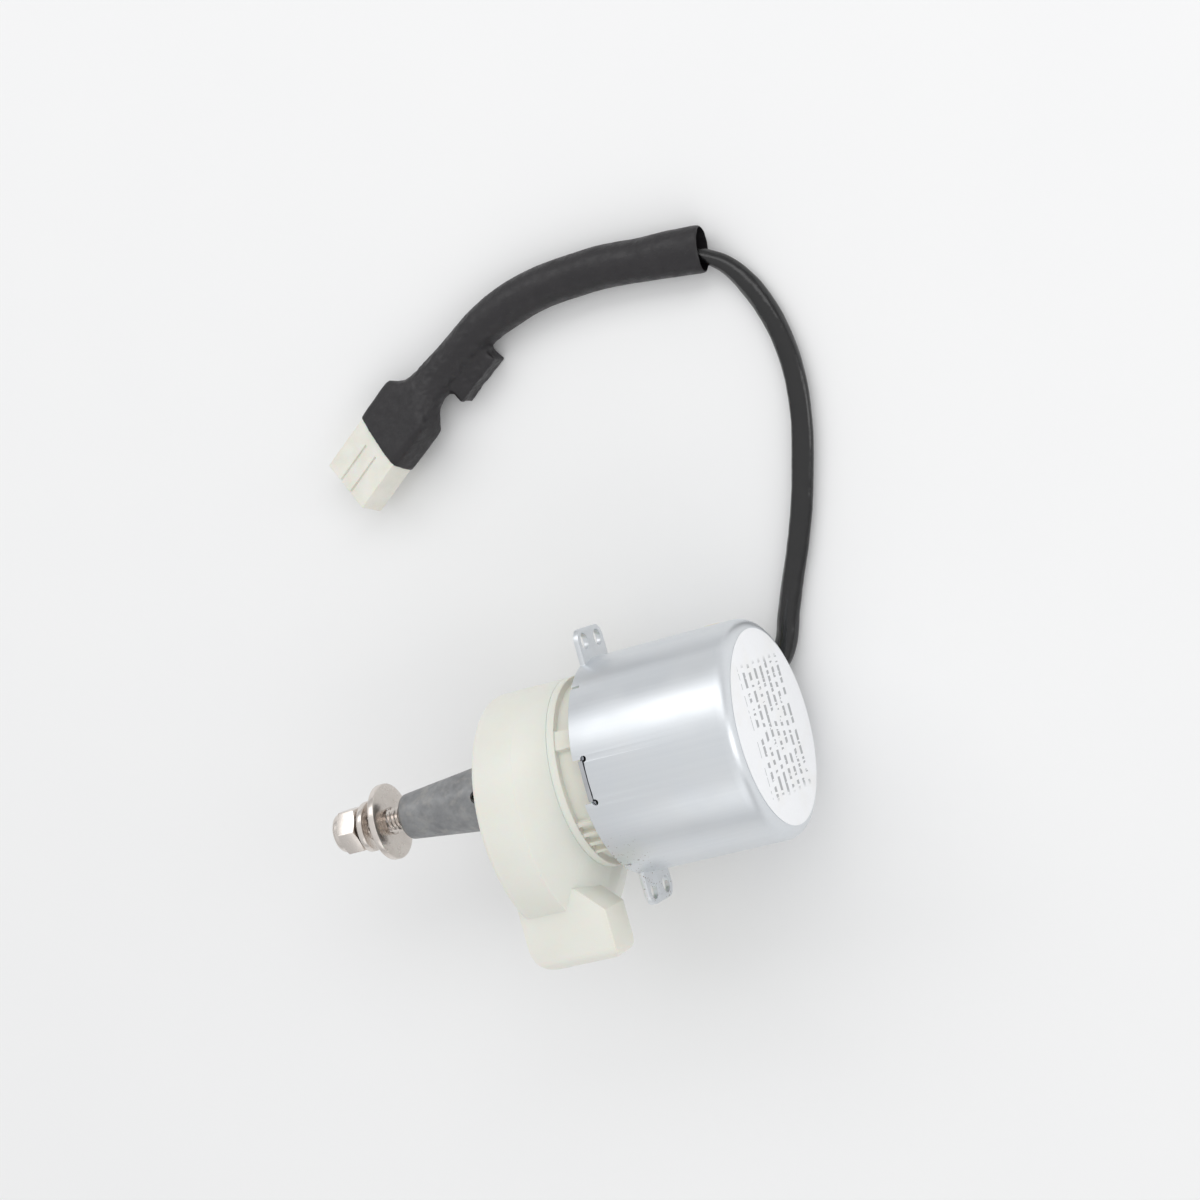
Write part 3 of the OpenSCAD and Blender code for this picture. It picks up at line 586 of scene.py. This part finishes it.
def relax_weights(piece):
    """Relaxes the film, but hardly at the capacitor's outer edges and the connector's block."""
    group = piece.vertex_groups.new(name="relax")
    turn = Matrix.Rotation(math.radians(-CAPACITOR_HEADING), 3, "Z")
    outer_from, fade, outer_half_len, block_reach = 3, 2, 8, 9.5
    stiffest = 0.85
    for vertex in piece.data.vertices:
        place = turn @ (vertex.co - CAPACITOR_AT) / MM
        from_block = (vertex.co - BLOCK_MIDDLE).length / MM
        outer = min(max((place.y - outer_from) / fade, 0), 1) if abs(place.x) < outer_half_len else 0
        block = min(max((block_reach - from_block) / fade, 0), 1)
        group.add([vertex.index], 1 - stiffest * max(outer, block), "REPLACE")


def heat_shrink():
    """One skin over the wires, the capacitor beside them and the rear of the connector."""
    fine = catmull(SHRINK_STATIONS, 6)
    bm = bmesh.new()
    bm.from_mesh(mesh_from_rings("tube", shrink_rings(fine, 72)))
    size = [side * MM + FILM * MM for side in CAPACITOR_SIZE]
    bm.from_mesh(box_mesh(size, CAPACITOR_AT, CAPACITOR_HEADING))
    bm.from_mesh(web_mesh())
    mesh = bpy.data.meshes.new("heat_shrink_skin")
    bm.to_mesh(mesh)
    bm.free()
    piece = new_object("heat_shrink_skin", mesh)
    remesh = piece.modifiers.new("remesh", "REMESH")
    remesh.mode = "VOXEL"
    remesh.voxel_size = 0.33 * MM
    piece.data = evaluated(piece)
    relax_weights(piece)
    relax = piece.modifiers.new("relax", "SMOOTH")
    relax.factor = 0.5
    relax.iterations = 44
    relax.vertex_group = "relax"
    piece.data = evaluated(piece)
    hollow = new_object("hollow", mesh_from_rings("hollow", hollow_rings(fine)))
    cut = piece.modifiers.new("cut", "BOOLEAN")
    cut.operation = "DIFFERENCE"
    cut.solver = "EXACT"
    cut.object = hollow
    piece.data = evaluated(piece)
    bpy.data.objects.remove(hollow)
    wrinkle(piece.data)
    shade(piece)
    dress(piece, "black_shrink")
    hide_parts("heat_shrink", "capacitor")
    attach(piece, "motor_frame")
    return piece


def hollow_rings(fine):
    """The hollow of the tube's open end, from 2 mm outside it to the eighth fine station."""
    tube_wall = 0.55 * MM
    mouth = Vector(fine[0][:3])
    outward = (mouth - Vector(fine[2][:3])).normalized()
    outside = list(mouth + outward * 2 * MM) + list(fine[0][3:])
    return shrink_rings([outside] + fine[:8], 48, tube_wall)


def wrinkle(mesh):
    """Folds all over, larger ones at the capacitor and the waist, and a slanted cut at the block."""
    along = Matrix.Rotation(math.radians(CONNECTOR_HEADING), 3, "Z") @ Vector((1, 0, 0))
    aside = Vector((0, 0, 1)).cross(along)
    slant_over = 4
    moves = []
    for vertex in mesh.vertices:
        place = vertex.co
        near = math.exp(-((place - CAPACITOR_AT).length / (11 * MM)) ** 2)
        waist = math.exp(-((place - WAIST).length / (8 * MM)) ** 2)
        slow = noise.noise(place / (5 * MM))
        turned = Vector((place.x + place.y, place.y - place.x, place.z))
        fold = 1 - abs(noise.noise(turned / (2.6 * MM)))
        depth = 0.10 * slow + (0.05 + 0.22 * near + 0.25 * waist) * (fold - 0.8)
        from_cut = place - CUT_EDGE
        to_cut = min(max((from_cut.dot(along) / MM + slant_over) / slant_over, 0), 1)
        slant = 0.1 * from_cut.dot(aside) * to_cut
        moves.append(vertex.normal * depth * MM + along * slant)
    for vertex, move in zip(mesh.vertices, moves):
        vertex.co += move
        vertex.co.z = max(vertex.co.z, on_floor)
        vertex.co.y = max(vertex.co.y, cad_box[0][1] + 0.02 * MM)


shrink_skin = heat_shrink()


# ---- turned and threaded pieces ----

def threaded_stud():
    """The stud with a rolled M6 thread of 1 mm pitch on a stretch inside its own length."""
    low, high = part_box("stud")
    crest = high.z
    depth = 0.55 * MM
    pitch = 1 * MM
    chamfer = 0.7 * MM
    sides = 48
    per_pitch = 10
    count = int((high.x - low.x) / pitch * per_pitch)
    rings = []
    for i in range(count + 1):
        x = low.x + (high.x - low.x) * i / count
        to_end = min(x - low.x, high.x - x)
        limit = crest - max(chamfer - to_end, 0)
        ring = []
        for k in range(sides):
            angle = math.tau * k / sides
            phase = (x / pitch - k / sides) % 1
            tooth = min(max(abs(phase - 0.5) * 2.5 - 0.2, 0), 1)
            radius = min(crest - depth * (1 - tooth), limit)
            ring.append((x, radius * math.cos(angle), radius * math.sin(angle)))
        rings.append(ring)
    piece = new_object("threaded_stud", mesh_from_rings("threaded_stud", rings))
    shade(piece)
    dress(piece, "stainless")
    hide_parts("stud")
    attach(piece, "output")


threaded_stud()


def split_washer():
    """The spring washer: a rounded square wire, sprung open across its cut."""
    low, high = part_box("spring_washer")
    inner, width, thick = 3.15 * MM, 2.8 * MM, 1.6 * MM
    steps, turn, start = 110, math.radians(345), math.radians(150)
    rise = high.x - low.x - thick
    rings = []
    for i in range(steps + 1):
        angle = start + turn * i / steps
        x = low.x + thick / 2 + rise * i / steps
        ring = []
        for k in range(24):
            around = math.tau * k / 24
            c, s = math.cos(around), math.sin(around)
            radius = inner + width / 2 * (1 + math.copysign(abs(c) ** 0.35, c))
            lift = thick / 2 * math.copysign(abs(s) ** 0.35, s)
            ring.append((x + lift, radius * math.sin(angle), radius * math.cos(angle)))
        rings.append(ring)
    piece = new_object("split_washer", mesh_from_rings("split_washer", rings))
    shade(piece)
    dress(piece, "stainless")
    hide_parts("spring_washer")
    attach(piece, "output")


split_washer()


# ---- finish of the CAD nodes ----

# Width of the rounded edges of each CAD node that shows, in mm
EDGES = {
    "motor_can": 0.2, "label_disc": 0.04, "front_plate": 0.1, "gear_plate": 0.1, "housing_back": 0.35,
    "housing_front": 1.1, "spindle": 0.25, "flat_washer": 0.25, "lock_nut": 0.15, "nut_ring": 0.1,
    "roll_pin": 0.08, "lead_cap": 0.5, "connector_body": 0.25, "connector_terminals": 0.05,
    "housing_screws": 0.2, "output_shaft": 0.2, "output_bush": 0.15, "spindle_bush": 0.2,
}

for row in frame["record"]["subparts"]:
    node = nodes[row["node"]]
    if "custom_normal" in node.data.attributes:
        node.data.attributes.remove(node.data.attributes["custom_normal"])
    dress(node, row["material_slot"])
    soften(node, EDGES.get(row["node"], 0))


# ---- floor and light ----

def make_floor():
    mesh = bpy.data.meshes.new("floor")
    reach = 4
    corners = [(-reach, -reach), (reach, -reach), (reach, reach), (-reach, reach)]
    mesh.from_pydata([(x, y, floor_z) for x, y in corners], [], [(0, 1, 2, 3)])
    floor = new_object("floor", mesh)
    m = Material("floor", srgb(243, 243, 243), 0.7)
    m.layer(m.times(m.noise(0.02, 2), 0.2), srgb(240, 240, 241))
    mesh.materials.append(m.done())


def area_light(name, place, aim, size, radiance, colour=(1, 1, 1)):
    light = bpy.data.lights.new(name, "AREA")
    light.shape = "RECTANGLE"
    light.size, light.size_y = size
    light.energy = radiance * math.pi * size[0] * size[1]
    light.color = colour
    lamp = bpy.data.objects.new(name, light)
    lamp.location = place
    lamp.rotation_euler = (Vector(aim) - Vector(place)).to_track_quat("-Z", "Y").to_euler()
    scene.collection.objects.link(lamp)


def make_world():
    world = bpy.data.worlds.new("studio")
    world.use_nodes = True
    tree = world.node_tree
    place = tree.nodes.new("ShaderNodeTexCoord")
    split = tree.nodes.new("ShaderNodeSeparateXYZ")
    ramp = tree.nodes.new("ShaderNodeMapRange")
    ramp.inputs["From Min"].default_value = -0.1
    ramp.inputs["From Max"].default_value = 0.9
    ramp.inputs["To Min"].default_value = 0.5
    ramp.inputs["To Max"].default_value = 0.86
    tree.links.new(place.outputs["Generated"], split.inputs[0])
    tree.links.new(split.outputs["Z"], ramp.inputs["Value"])
    tree.links.new(ramp.outputs[0], tree.nodes["Background"].inputs["Strength"])
    tree.nodes["Background"].inputs["Color"].default_value = (0.98, 0.985, 0.99, 1)
    scene.world = world


make_floor()
make_world()
scene.view_settings.view_transform = "Standard"
# name, place, what it points at, size in metres, radiance
area_light("key", (-0.05, -0.62, 0.56), (0, -0.02, 0), (1.6, 0.38), 1.25)
area_light("fill", (-0.1, 0.7, 0.5), (0, 0, 0), (1.2, 0.4), 0.5)
area_light("end", (-0.75, 0.05, 0.3), (-0.04, 0, 0), (0.3, 0.5), 1.6)
